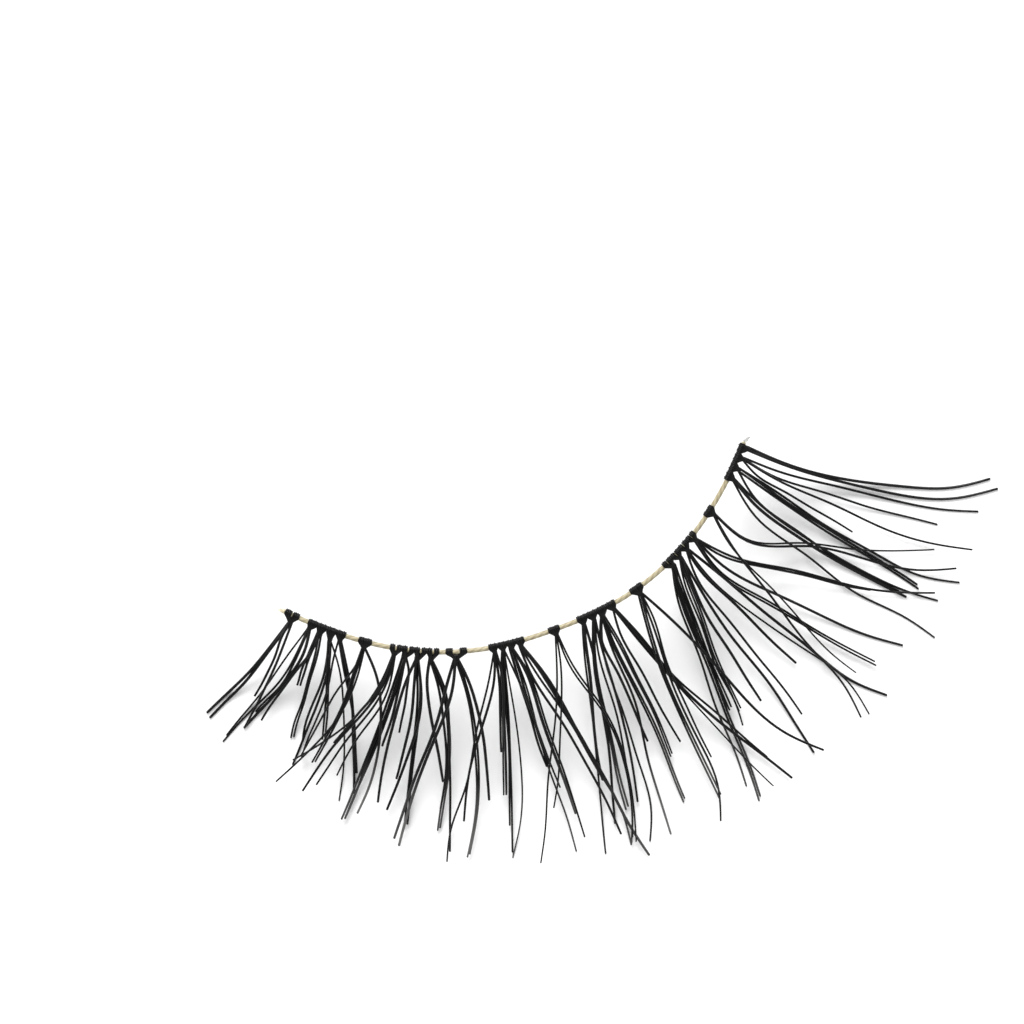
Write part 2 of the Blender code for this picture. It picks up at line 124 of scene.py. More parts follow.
KNOTS: dict[str, Knot] = {
    "tuft_01": Knot(0.40, 0.09, (
        Hair(6.9, -63.0, (1.0, 2.5, 2.0, 1.0), 0.18, 0),
        Hair(7.0, -60.5, (1.0, 2.5, 2.5, 1.0), 0.18, 0),
        Hair(4.6, -46.5, (-2.0, 0.5, 1.5, 1.0), 0.15, 1),
        Hair(6.4, -44.0, (1.5, 2.5, 2.0, 1.0), 0.15, 1),
    )),
    "tuft_02_1": Knot(0.36, -0.09, (
        Hair(7.5, -58.0, (0.0, 0.5, 1.0, 0.0), 0.11, 0),
        Hair(7.9, -57.5, (3.0, 6.0, 3.0, 1.0), 0.13, 0),
        Hair(5.5, -53.0, (2.5, 6.0, 6.5, 2.5), 0.13, 0),
        Hair(6.6, -53.5, (5.5, 8.0, 6.0, 2.5), 0.18, 0),
    )),
    "tuft_02_2": Knot(0.51, 0.00, (
        Hair(5.7, -54.5, (2.5, 1.0, 0.0, -1.0), 0.15, 1),
        Hair(3.0, -42.5, (-1.5, -3.0, -3.0, -1.5), 0.24, 0),
        Hair(5.9, -35.0, (1.5, 1.5, 1.0, -0.5), 0.21, 0),
    )),
    "tuft_02_3": Knot(0.56, 0.10, (
        Hair(5.8, -35.5, (2.5, 3.0, -0.5, -2.0), 0.15, 0),
        Hair(7.2, -37.0, (4.0, 5.0, 3.0, 1.5), 0.15, 0),
        Hair(5.5, -24.0, (0.0, 0.5, 0.5, 0.5), 0.21, 0),
        Hair(8.9, -17.0, (4.0, 6.0, 5.0, 3.0), 0.11, 0),
    )),
    "tuft_02_4": Knot(0.38, 0.05, (
        Hair(6.8, -38.5, (0.5, 3.0, 2.0, 0.0), 0.12, 1),
        Hair(7.4, -13.0, (0.5, 2.0, 2.5, 1.0), 0.18, 0),
        Hair(8.5, -15.0, (2.0, 4.0, 3.0, 1.5), 0.18, 0),
    )),
    "tuft_03": Knot(0.37, 0.03, (
        Hair(7.0, -50.5, (2.0, -1.0, -1.0, -0.5), 0.12, 2),
        Hair(7.0, -44.0, (1.0, 3.0, 3.0, 1.5), 0.21, 2),
        Hair(8.9, -53.5, (5.5, 10.0, 8.0, 4.0), 0.12, 2),
        Hair(9.2, -22.5, (7.5, 11.5, 10.5, 6.0), 0.16, 2, TipSheen.GREY),
    )),
    "tuft_04_1": Knot(0.40, -0.05, (
        Hair(8.1, -64.0, (5.5, 10.0, 9.0, 4.5), 0.12, 3),
        Hair(5.9, -54.5, (4.0, 6.5, 3.5, 1.5), 0.15, 3),
        Hair(9.1, -54.0, (4.0, 4.0, 0.5, 0.0), 0.15, 3),
        Hair(8.4, -51.0, (4.5, 5.5, 2.0, 0.5), 0.13, 3),
        Hair(7.4, -45.5, (4.5, 7.0, 2.5, 0.5), 0.12, 3),
    )),
    "tuft_04_2": Knot(0.42, -0.14, (
        Hair(9.7, -41.0, (0.5, 1.0, 0.5, 0.5), 0.24, 1, TipSheen.SOFT),
        Hair(9.6, -40.5, (1.5, 2.5, 1.5, 0.5), 0.15, 1, TipSheen.SOFT),
        Hair(5.1, -34.5, (1.0, 2.0, 2.5, 1.5), 0.17, 1),
        Hair(4.2, -24.5, (5.0, 5.5, 4.0, 2.0), 0.15, 0),
    )),
    "tuft_04_3": Knot(0.51, -0.17, (
        Hair(8.2, -35.5, (-2.5, -4.0, -3.5, -2.0), 0.17, 2),
        Hair(6.7, -30.0, (1.0, 3.0, 3.0, 1.5), 0.17, 1),
        Hair(8.5, -31.5, (5.0, 8.5, 6.0, 3.0), 0.17, 1),
        Hair(9.3, -24.0, (2.0, 2.5, 1.0, 0.5), 0.23, 0),
    )),
    "tuft_04_4": Knot(0.46, -0.11, (
        Hair(6.8, -14.5, (-4.0, -4.5, -2.5, -1.0), 0.18, 1),
        Hair(9.5, -17.5, (5.5, 8.5, 7.0, 3.0), 0.21, 0, TipSheen.SOFT),
        Hair(8.3, -16.5, (3.5, 6.0, 6.0, 3.5), 0.15, 0),
        Hair(10.7, -14.5, (5.0, 5.5, 3.5, 1.5), 0.15, 1),
    )),
    "tuft_05": Knot(0.36, -0.04, (
        Hair(10.6, -39.0, (0.5, 1.5, 0.0, 0.0), 0.18, 2, TipSheen.SOFT),
        Hair(10.9, -37.0, (3.0, 2.0, -0.5, -0.5), 0.18, 2, TipSheen.GREY),
        Hair(11.1, -16.5, (4.0, 7.0, 7.0, 4.0), 0.21, 1, TipSheen.GREY),
        Hair(8.1, -7.0, (4.0, 6.0, 5.0, 2.5), 0.18, 1),
    )),
    "tuft_06_1": Knot(0.34, 0.04, (
        Hair(11.9, -33.0, (0.5, 0.0, 0.5, -1.5), 0.12, 2),
        Hair(9.5, -30.5, (2.5, 1.0, -2.0, -1.5), 0.15, 2),
        Hair(5.5, -16.5, (1.5, 2.0, 1.5, 0.5), 0.15, 1),
        Hair(7.9, -15.5, (3.0, 3.0, 2.0, 1.0), 0.15, 1),
    )),
    "tuft_06_2": Knot(0.34, 0.00, (
        Hair(8.0, -19.5, (-1.0, -0.5, 0.0, 0.0), 0.19, 0),
        Hair(9.7, -18.0, (0.0, 0.5, 1.0, 0.5), 0.13, 0),
        Hair(11.2, -17.5, (0.5, 1.0, 1.0, 0.5), 0.13, 0),
        Hair(11.5, -17.5, (2.0, 5.0, 6.0, 4.0), 0.10, 0, TipSheen.SOFT),
        Hair(8.2, 2.5, (1.0, 2.0, 0.5, 0.0), 0.12, 1),
    )),
    "tuft_06_3": Knot(0.34, -0.02, (
        Hair(6.8, -3.0, (-0.5, -1.0, -1.0, -1.0), 0.24, 0),
        Hair(11.8, -2.5, (1.0, 0.0, -0.5, 0.5), 0.11, 0, TipSheen.SOFT),
        Hair(9.8, 1.0, (2.5, 1.5, 1.0, 0.5), 0.18, 1, TipSheen.SOFT),
        Hair(11.2, 1.0, (3.0, 2.5, 2.0, 1.0), 0.12, 1),
    )),
    "tuft_06_4": Knot(0.34, -0.03, (
        Hair(11.8, 8.0, (-1.5, 0.5, 1.0, 1.0), 0.15, 1),
        Hair(8.7, 11.5, (2.0, 2.5, 2.5, 1.5), 0.18, 1),
        Hair(13.6, 11.5, (2.0, 1.5, 1.0, -0.5), 0.18, 1, TipSheen.SOFT),
        Hair(12.6, 9.0, (0.5, 3.0, 3.0, 3.5), 0.13, 1, TipSheen.SOFT),
    )),
    "tuft_07": Knot(0.34, 0.03, (
        Hair(12.7, -24.0, (1.5, 2.0, 0.5, 1.0), 0.11, 2),
        Hair(9.6, -21.0, (2.5, 3.5, 3.0, 2.0), 0.11, 2),
        Hair(12.3, 1.0, (1.5, 8.0, 8.5, 4.5), 0.11, 2),
        Hair(12.0, 0.5, (0.5, 7.5, 8.5, 5.0), 0.11, 2),
    )),
    "tuft_08_1": Knot(0.34, -0.04, (
        Hair(12.8, -14.5, (-0.5, 0.0, 0.0, 0.0), 0.12, 0),
        Hair(8.7, -13.0, (0.0, 0.0, -1.5, -1.5), 0.18, 0),
        Hair(11.2, -11.0, (2.0, 2.5, 2.5, 1.0), 0.16, 0),
    )),
    "tuft_08_2": Knot(0.34, -0.01, (
        Hair(10.7, -10.0, (-2.5, -3.5, -2.0, -1.5), 0.22, 0, TipSheen.SOFT),
        Hair(12.6, -10.5, (-0.5, 2.5, 3.5, 3.0), 0.12, 0, TipSheen.SOFT),
        Hair(10.4, -6.5, (0.0, 2.0, 2.5, 1.5), 0.15, 0),
    )),
    "tuft_08_3": Knot(0.34, -0.11, (
        Hair(12.8, -8.0, (-2.5, 0.0, 2.5, 3.5), 0.12, 0),
        Hair(7.4, 0.0, (-5.5, -4.0, -2.0, -1.0), 0.16, 0),
        Hair(12.7, -2.5, (0.0, 2.5, 0.5, 0.0), 0.14, 0, TipSheen.GREY),
        Hair(11.3, 4.0, (-0.5, 0.5, 1.5, 0.5), 0.20, 0, TipSheen.SOFT),
        Hair(8.7, 6.5, (1.5, 2.0, 2.5, 1.5), 0.19, 0),
    )),
    "tuft_08_4": Knot(0.34, 0.06, (
        Hair(8.2, 6.5, (-3.0, -2.5, -2.0, -1.0), 0.14, 0),
        Hair(11.8, 26.0, (-0.5, -3.0, -2.0, -1.0), 0.13, 1),
        Hair(13.6, 26.5, (-1.5, -4.0, -3.5, -1.5), 0.17, 1),
        Hair(13.2, 22.0, (-1.0, -1.5, -1.5, -1.0), 0.10, 1),
    )),
    "tuft_09": Knot(0.34, 0.02, (
        Hair(12.2, 1.5, (-2.0, -3.5, -2.5, -1.0), 0.21, 2, TipSheen.SOFT),
        Hair(13.4, -0.5, (0.5, 0.0, 2.5, 4.0), 0.13, 2),
        Hair(9.9, 3.5, (1.0, -1.5, -1.5, -1.0), 0.12, 2),
        Hair(13.4, 29.5, (0.0, -2.0, -5.5, -4.5), 0.16, 2),
    )),
    "tuft_10_1": Knot(0.34, 0.09, (
        Hair(12.9, -1.5, (-2.5, -1.5, -1.5, 0.0), 0.13, 0, TipSheen.SOFT),
        Hair(13.9, 0.5, (-1.5, -0.5, -0.5, 0.5), 0.22, 0, TipSheen.SOFT),
        Hair(8.6, 2.0, (-0.5, -0.5, -1.0, -0.5), 0.22, 0),
    )),
    "tuft_10_2": Knot(0.34, 0.03, (
        Hair(9.1, 1.5, (-1.0, -1.0, -2.0, -1.0), 0.19, 1),
        Hair(9.9, 0.5, (-2.5, -2.0, -2.5, 0.5), 0.12, 1),
        Hair(9.1, 9.5, (-1.5, -3.5, -1.5, -1.0), 0.17, 0),
        Hair(13.1, 14.5, (-1.0, -1.0, 1.0, 0.5), 0.16, 0),
    )),
    "tuft_10_3": Knot(0.34, -0.05, (
        Hair(11.1, 15.0, (-4.0, -3.0, -1.5, 0.0), 0.14, 1),
        Hair(8.7, 24.0, (-3.0, -2.0, -1.5, -1.0), 0.17, 0),
        Hair(13.7, 34.0, (-0.5, -2.0, -3.0, -3.5), 0.17, 0),
        Hair(13.6, 28.0, (-2.5, -1.0, 2.5, 4.0), 0.11, 1),
    )),
    "tuft_10_4": Knot(0.34, 0.04, (
        Hair(12.2, 35.5, (-5.5, -5.0, -3.5, -2.0), 0.20, 1),
        Hair(12.9, 43.0, (-4.5, -5.0, -4.5, -3.0), 0.16, 0),
        Hair(13.6, 57.5, (-3.5, -3.5, -4.5, -3.0), 0.14, 1),
        Hair(10.1, 54.0, (-4.5, -4.0, -2.0, -1.5), 0.14, 1),
    )),
    "tuft_11": Knot(0.34, 0.00, (
        Hair(12.4, 61.0, (-8.5, -6.5, -5.5, -3.0), 0.11, 1),
        Hair(13.8, 57.5, (-7.5, -4.0, -4.5, -4.0), 0.14, 1),
        Hair(13.9, 16.0, (-1.5, -0.5, 0.0, 2.0), 0.13, 2),
        Hair(11.8, 22.0, (-3.5, -3.0, -3.0, -2.5), 0.10, 2),
    )),
    "tuft_12_1": Knot(0.34, -0.09, (
        Hair(14.2, 32.0, (-5.5, -5.5, -5.0, -1.0), 0.13, 0),
        Hair(11.6, 36.0, (-4.0, -5.0, -4.0, -2.0), 0.18, 0),
        Hair(13.2, 39.5, (-3.5, -5.5, -5.5, -3.5), 0.14, 0),
    )),
    "tuft_12_2": Knot(0.34, -0.02, (
        Hair(11.2, 33.0, (-6.0, -6.5, -5.5, -3.0), 0.14, 0),
        Hair(12.0, 37.0, (-0.5, -1.0, -0.5, 0.0), 0.23, 0),
        Hair(13.8, 43.0, (-1.0, -4.0, -5.0, -4.5), 0.14, 0),
    )),
    "tuft_12_3": Knot(0.34, 0.05, (
        Hair(13.4, 57.5, (-2.0, -2.5, -3.0, -2.5), 0.14, 0),
        Hair(11.4, 51.5, (-3.0, -3.0, -2.5, -1.0), 0.13, 0),
        Hair(13.7, 48.5, (-2.5, -3.5, -5.0, -3.5), 0.13, 1),
        Hair(7.3, 36.5, (-4.0, -3.0, -1.5, -0.5), 0.13, 1),
    )),
    "tuft_12_4": Knot(0.34, 0.11, (
        Hair(13.6, 63.0, (-4.0, -7.5, -7.5, -5.5), 0.17, 0),
        Hair(14.1, 61.0, (-3.5, -7.0, -8.5, -6.0), 0.16, 0),
    )),
}


def smooth_step(value: Array) -> Array:
    """3 v^2 - 2 v^3 of the value held between 0 and 1."""
    value = np.clip(value, 0.0, 1.0)
    return value * value * (3.0 - 2.0 * value)


def unit(vectors: Array) -> Array:
    """The vectors at length one, along the last axis."""
    return vectors / np.linalg.norm(vectors, axis=-1, keepdims=True)


def spline_weights(stations: Array, samples: Array) -> Array:
    """Weights that carry values at stations to a natural cubic spline at samples.

    The spline's second slopes solve the usual three-term equations with none at
    the two ends.  Solving them for each station's unit value gives one column.

    Args:
        stations: Rising places of the given values.
        samples: Places where the spline is wanted, within the stations.

    Returns:
        An array of one row per sample and one column per station.
    """
    count = len(stations)
    gaps = np.diff(stations)
    values = np.eye(count)
    slopes = np.diff(values, axis=0) / gaps[:, None]
    terms = np.eye(count)
    inner = np.arange(1, count - 1)
    terms[inner, inner - 1] = gaps[:-1]
    terms[inner, inner] = 2.0 * (gaps[:-1] + gaps[1:])
    terms[inner, inner + 1] = gaps[1:]
    sides = np.zeros((count, count))
    sides[1:-1] = 6.0 * np.diff(slopes, axis=0)
    bends = np.linalg.solve(terms, sides)
    span = np.clip(np.searchsorted(stations, samples, side="right") - 1, 0, count - 2)
    gap = gaps[span][:, None]
    after = (samples - stations[span])[:, None] / gap
    before = 1.0 - after
    line = before * values[span] + after * values[span + 1]
    curve = (before**3 - before) * bends[span] + (after**3 - after) * bends[span + 1]
    return line + curve * gap**2 / 6.0


def tube_faces(stations: int, sides: int) -> Array:
    """Faces of a tube whose rings follow one another, with the two poles as its last points.

    Args:
        stations: Rings in the tube.
        sides: Points in each ring.

    Returns:
        Quads, where a triangle at a pole repeats its last corner.
    """
    ring = np.arange(stations - 1)[:, None] * sides
    here = np.arange(sides)
    after = (here + 1) % sides
    walls = [ring + here, ring + sides + here, ring + sides + after, ring + after]
    first = stations * sides
    end = first - sides
    start_cap = np.stack([np.full(sides, first), here, after, after], -1)
    end_cap = np.stack([np.full(sides, first + 1), end + after, end + here, end + here], -1)
    return np.concatenate([np.stack(walls, -1).reshape(-1, 4), start_cap, end_cap])


@dataclass(frozen=True)
class Strands:
    """Tubes carried along paths, as one set of arrays.

    Attributes:
        points: Paths, strands x stations x 3, in mm.
        radii: Radii, strands x stations, in mm.
        tips: How light each strand's tip is, one number per strand: a painted sheen on a hair, the pale
            colour of a frayed thread fibre.
        tones: A number from 0 to 1 that sets each strand's shade.
    """

    points: Array
    radii: Array
    tips: Array
    tones: Array

    def mesh_parts(self, sides: int, across: Array) -> tuple[Array, Array, dict[str, Array]]:
        """Vertices, faces and attributes of closed round tubes.

        A ring's point is centre + radius (cos a side + sin a up), where side is
        square to the path and to the across vector, and up is square to both.
        One pole beyond each end closes the tube as a low dome.

        Args:
            sides: Points in each ring.
            across: A vector that no path runs along.

        Returns:
            Vertices, quads (a triangle repeats its last corner), attributes.
        """
        strands, stations, _ = self.points.shape
        tangent = unit(np.gradient(self.points, axis=1))
        side = unit(np.cross(tangent, across))
        up = np.cross(side, tangent)
        turn = 2.0 * np.pi * np.arange(sides) / sides
        spoke = np.cos(turn)[:, None] * side[:, :, None] + np.sin(turn)[:, None] * up[:, :, None]
        rings = self.points[:, :, None] + self.radii[:, :, None, None] * spoke
        dome = 0.6 * self.radii[:, [0, -1], None] * tangent[:, [0, -1]] * np.array([-1, 1])[:, None]
        poles = self.points[:, [0, -1]] + dome
        size = stations * sides + 2
        vertices = np.concatenate([rings.reshape(strands, -1, 3), poles], axis=1)
        faces = np.arange(strands)[:, None, None] * size + tube_faces(stations, sides)
        steps = np.linalg.norm(np.diff(self.points, axis=1), axis=2)
        run = np.concatenate([np.zeros((strands, 1)), np.cumsum(steps, axis=1)], axis=1)
        share = run / run[:, -1:]

        def spread(values: Array) -> Array:
            """One value per station, given to each of its ring's points and the poles."""
            return np.concatenate([np.repeat(values, sides, axis=1), values[:, [0, -1]]], axis=1)

        around = np.tile(np.arange(sides) / sides, (strands, stations))
        around = np.concatenate([around, np.zeros((strands, 2))], axis=1)
        attributes = {
            "along": spread(share),
            "run": spread(run),
            "around": around,
            # tip: a painted sheen on hairs, the pale frayed colour on thread fibres
            "tip": spread(self.tips[:, None] * np.ones_like(share)),
            "tone": spread(self.tones[:, None] * np.ones_like(share)),
        }
        return vertices.reshape(-1, 3), faces.reshape(-1, 4), attributes


def mesh_piece(name: str, parts: list[tuple[Array, Array, dict[str, Array]]]) -> bpy.types.Object:
    """Joins mesh parts into one smooth object at the origin.

    Args:
        name: The piece's name.
        parts: Vertices in mm, quads with repeated corners for triangles, attributes.

    Returns:
        The linked object.
    """
    counts = np.cumsum([0] + [len(part[0]) for part in parts])
    vertices = np.concatenate([part[0] for part in parts]) * MM
    quads = np.concatenate([part[1] + start for part, start in zip(parts, counts)])
    triangle = quads[:, 2] == quads[:, 3]
    corners = np.where(triangle, 3, 4)
    keep = np.ones(quads.shape, bool)
    keep[triangle, 3] = False
    mesh = bpy.data.meshes.new(name)
    mesh.vertices.add(len(vertices))
    mesh.vertices.foreach_set("co", vertices.astype(np.float32).ravel())
    mesh.loops.add(int(corners.sum()))
    mesh.loops.foreach_set("vertex_index", quads[keep].astype(np.int32))
    mesh.polygons.add(len(quads))
    starts = np.concatenate([[0], np.cumsum(corners)[:-1]])
    mesh.polygons.foreach_set("loop_start", starts.astype(np.int32))
    for key in parts[0][2]:
        values = np.concatenate([part[2][key].ravel() for part in parts])
        layer = mesh.attributes.new(key, "FLOAT", "POINT")
        layer.data.foreach_set("value", values.astype(np.float32))
    mesh.update(calc_edges=True)
    mesh.validate()
    mesh.shade_smooth()
    piece = bpy.data.objects.new(name, mesh)
    bpy.context.scene.collection.objects.link(piece)
    return piece


class Graph:
    """A node tree that is filled by short calls."""

    def __init__(self, tree: bpy.types.NodeTree) -> None:
        """Keeps the tree."""
        self.tree = tree

    def add(self, kind: str, inputs: dict | None = None, **settings: object) -> bpy.types.Node:
        """Adds a node.

        Args:
            kind: The node's type without its ShaderNode prefix.
            inputs: Values or sockets for its inputs, by name or number.
            settings: Properties of the node.

        Returns:
            The new node.
        """
        node = self.tree.nodes.new("ShaderNode" + kind)
        for name, value in settings.items():
            setattr(node, name, value)
        for name, value in (inputs or {}).items():
            if isinstance(value, bpy.types.NodeSocket):
                self.tree.links.new(value, node.inputs[name])
            else:
                node.inputs[name].default_value = value
        return node

    def attribute(self, name: str) -> bpy.types.NodeSocket:
        """The value of one of the mesh's own attributes."""
        return self.add("Attribute", attribute_name=name).outputs["Fac"]

    def maths(self, operation: str, *values: object) -> bpy.types.NodeSocket:
        """A sum, product or other operation on one, two or three values."""
        return self.add("Math", dict(enumerate(values)), operation=operation).outputs[0]

    def between(self, share: object, low: object, high: object) -> bpy.types.NodeSocket:
        """A colour between low and high."""
        node = self.add("Mix", data_type="RGBA")
        for slot, value in zip((0, 6, 7), (share, low, high)):
            if isinstance(value, bpy.types.NodeSocket):
                self.tree.links.new(value, node.inputs[slot])
            else:
                node.inputs[slot].default_value = value
        return node.outputs[2]


def new_material(name: str) -> tuple[bpy.types.Material, Graph, bpy.types.Node]:
    """A material with nodes, its graph and its Principled shader."""
    material = bpy.data.materials.new(name)
    material.use_nodes = True
    return material, Graph(material.node_tree), material.node_tree.nodes["Principled BSDF"]


class FibreGrain:
    """Streaks along a fibre, shared by the hair, the thread and the glue."""

    NAME = "fibre_grain"

    def tree(self) -> bpy.types.NodeTree:
        """The group, built once: noise read in (turns around, mm along, tone)."""
        if self.NAME in bpy.data.node_groups:
            return bpy.data.node_groups[self.NAME]
        group = bpy.data.node_groups.new(self.NAME, "ShaderNodeTree")
        for name, value in (("Across", 3.0), ("Along", 0.6), ("Contrast", 1.0)):
            socket = group.interface.new_socket(name, in_out="INPUT", socket_type="NodeSocketFloat")
            socket.default_value = value
        for name in ("Streak", "Speck"):
            group.interface.new_socket(name, in_out="OUTPUT", socket_type="NodeSocketFloat")
        graph = Graph(group)
        given = group.nodes.new("NodeGroupInput")
        result = group.nodes.new("NodeGroupOutput")
        turn = graph.maths("MULTIPLY", graph.attribute("around"), 2.0 * math.pi)
        ring_x = graph.maths("MULTIPLY", graph.maths("COSINE", turn), given.outputs["Across"])
        ring_y = graph.maths("MULTIPLY", graph.maths("SINE", turn), given.outputs["Across"])
        length = graph.maths("MULTIPLY", graph.attribute("run"), given.outputs["Along"])
        shift = graph.maths("MULTIPLY", graph.attribute("tone"), 37.0)
        place = graph.add("CombineXYZ", {0: ring_x, 1: ring_y, 2: graph.maths("ADD", length, shift)})
        fine = graph.add("TexNoise", {"Vector": place.outputs[0], "Scale": 1.0, "Detail": 3.0})
        centred = graph.maths("SUBTRACT", fine.outputs[0], 0.5)
        swing = graph.maths("MULTIPLY", centred, given.outputs["Contrast"])
        streak = graph.add("Clamp", {"Value": graph.maths("ADD", swing, 0.5)})
        spots = graph.add("TexNoise", {"Vector": place.outputs[0], "Scale": 5.0, "Detail": 2.0})
        speck = graph.maths("GREATER_THAN", spots.outputs[0], 0.66)
        group.links.new(streak.outputs[0], result.inputs["Streak"])
        group.links.new(speck, result.inputs["Speck"])
        return group

    def place(self, graph: Graph, across: float, along: float, contrast: float) -> bpy.types.Node:
        """Puts the group in a material with that material's own values."""
        node = graph.add("Group", node_tree=self.tree())
        node.inputs["Across"].default_value = across
        node.inputs["Along"].default_value = along
        node.inputs["Contrast"].default_value = contrast
        return node


@dataclass(frozen=True)
class HairFinish:
    """Black synthetic hair: a dark core with a soft grey gloss, and a painted grey sheen on the last part
    of some hairs.
    """

    root: tuple[float, float, float, float] = (0.001, 0.001, 0.001, 1.0)
    shade: tuple[float, float, float, float] = (0.005, 0.005, 0.005, 1.0)
    # Painted sheen: the grey that the last part of some hairs turns to, standing in for light along the
    # tips.
    tip: tuple[float, float, float, float] = (0.130, 0.128, 0.126, 1.0)
    roughness: float = 0.30
    grain: FibreGrain = field(default_factory=FibreGrain)

    def material(self) -> bpy.types.Material:
        """Builds the material."""
        material, graph, shader = new_material("black_hair")
        grain = self.grain.place(graph, 1.6, 1.3, 1.2)
        body = graph.between(graph.attribute("tone"), self.root, self.shade)
        # Painted sheen: toward the tip, hairs with a tip value turn grey, broken into streaks by the
        # grain.
        reach = graph.add("MapRange", {"Value": graph.attribute("along"), 1: 0.62, 2: 0.97})
        painted_tip_sheen = graph.maths("MULTIPLY", reach.outputs[0], graph.attribute("tip"))
        broken = graph.maths("ADD", graph.maths("MULTIPLY", grain.outputs["Streak"], 0.7), 0.55)
        light = graph.add("Clamp", {"Value": graph.maths("MULTIPLY", painted_tip_sheen, broken)})
        colour = graph.between(light.outputs[0], body, self.tip)
        graph.tree.links.new(colour, shader.inputs["Base Color"])
        rough = graph.maths("MULTIPLY", grain.outputs["Streak"], 0.16)
        rough = graph.maths("ADD", rough, self.roughness - 0.08)
        graph.tree.links.new(rough, shader.inputs["Roughness"])
        bump = graph.add("Bump", {"Height": grain.outputs["Streak"], "Strength": 0.25, "Distance": 5e-6})
        graph.tree.links.new(bump.outputs[0], shader.inputs["Normal"])
        shader.inputs["Specular IOR Level"].default_value = 0.10
        shader.inputs["Coat Roughness"].default_value = 0.12
        shader.inputs["Coat Weight"].default_value = 0.20
        return material


@dataclass(frozen=True)
class ThreadFinish:
    """Pale tan thread: satin, slightly see-through, with painted shade in the lay between its plies."""

    pale: tuple[float, float, float, float] = (0.520, 0.470, 0.310, 1.0)
    tan: tuple[float, float, float, float] = (0.250, 0.210, 0.120, 1.0)
    # Painted shade: the darker colour given to the lay between the plies.
    lay: tuple[float, float, float, float] = (0.180, 0.140, 0.080, 1.0)
    frayed: tuple[float, float, float, float] = (0.640, 0.570, 0.400, 1.0)
    grain: FibreGrain = field(default_factory=FibreGrain)

    def material(self) -> bpy.types.Material:
        """Builds the material."""
        material, graph, shader = new_material("tan_thread")
        grain = self.grain.place(graph, 5.0, 1.8, 2.2)
        body = graph.between(grain.outputs["Streak"], self.tan, self.pale)
        # Painted shade: the grooves between the plies are darkened in the colour itself.
        with_painted_groove_shade = graph.between(graph.attribute("groove"), body, self.lay)
        colour = graph.between(graph.attribute("tip"), with_painted_groove_shade, self.frayed)
        graph.tree.links.new(colour, shader.inputs["Base Color"])
        rough = graph.maths("ADD", graph.maths("MULTIPLY", grain.outputs["Streak"], 0.20), 0.34)
        graph.tree.links.new(rough, shader.inputs["Roughness"])
        bump = graph.add("Bump", {"Height": grain.outputs["Streak"], "Strength": 0.35, "Distance": 1e-5})
        graph.tree.links.new(bump.outputs[0], shader.inputs["Normal"])
        shader.inputs["Subsurface Weight"].default_value = 0.12
        shader.inputs["Subsurface Radius"].default_value = (1.0, 0.8, 0.5)
        shader.inputs["Subsurface Scale"].default_value = 0.00012
        return material


@dataclass(frozen=True)
class GlueFinish:
    """A flake of dried clear glue, greyish and cloudy."""

    clear: tuple[float, float, float, float] = (0.520, 0.520, 0.505, 1.0)
    cloudy: tuple[float, float, float, float] = (0.720, 0.720, 0.700, 1.0)
    grain: FibreGrain = field(default_factory=FibreGrain)

    def material(self) -> bpy.types.Material:
        """Builds the material."""
        material, graph, shader = new_material("dried_glue")
        grain = self.grain.place(graph, 2.0, 6.0, 1.5)
        colour = graph.between(grain.outputs["Streak"], self.clear, self.cloudy)
        graph.tree.links.new(colour, shader.inputs["Base Color"])
        bump = graph.add("Bump", {"Height": grain.outputs["Streak"], "Strength": 0.4, "Distance": 2e-5})
        graph.tree.links.new(bump.outputs[0], shader.inputs["Normal"])
        shader.inputs["Roughness"].default_value = 0.22
        shader.inputs["Transmission Weight"].default_value = 0.35
        return material


@dataclass(frozen=True)
class Band:
    """The thread's curve: an arc in plan, held up by the hairs.

    The plan curve is y = -sag (1 - |2 t^skew - 1|^fullness) over t from 0 to 1.
    """

    chord: float = 27.2
    sag: float = 6.16
    fullness: float = 2.43
    skew: float = 1.025
    radius: float = 0.14
    samples: int = 241

    def start(self) -> Array:
        """The inner end's place, read from the frame's thread."""
        low, high = (np.array(corner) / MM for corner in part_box("band_thread"))
        flat = self.radius * math.cos(math.pi / 8)
        x = (low[0] + high[0] - self.chord) / 2.0
        return np.array([x, low[1] + flat + self.sag, (low[2] + high[2]) / 2.0])

    def curve(self) -> tuple[Array, Array]:
        """Points of the curve in plan and the distance along it at each, in mm."""
        across = np.linspace(0.0, 1.0, self.samples)
        depth = 1.0 - np.abs(2.0 * across**self.skew - 1.0) ** self.fullness
        points = self.start()[:2] + np.column_stack([self.chord * across, -self.sag * depth])
        steps = np.linalg.norm(np.diff(points, axis=0), axis=1)
        return points, np.concatenate([[0.0], np.cumsum(steps)])

    def length(self) -> float:
        """The thread's length along its curve."""
        return float(self.curve()[1][-1])

    def place(self, distance: Array) -> tuple[Array, Array, Array]:
        """Points of the thread's centre, and the directions along it and toward the hairs.

        Args:
            distance: Distances along the thread, in mm.

        Returns:
            Points x 3, unit vectors along x 3, unit vectors away x 3.
        """
        points, arc = self.curve()
        reach = 0.145

        def at(where: Array) -> Array:
            """The curve at these distances."""
            return np.column_stack([np.interp(where, arc, points[:, axis]) for axis in (0, 1)])

        distance = np.atleast_1d(np.asarray(distance, float))
        along = unit(at(distance + reach) - at(distance - reach))
        flat = np.zeros((len(distance), 1))
        centre = np.hstack([at(distance), flat + self.start()[2]])
        along = np.hstack([along, flat])
        away = np.column_stack([along[:, 1], -along[:, 0], flat])
        return centre, along, away


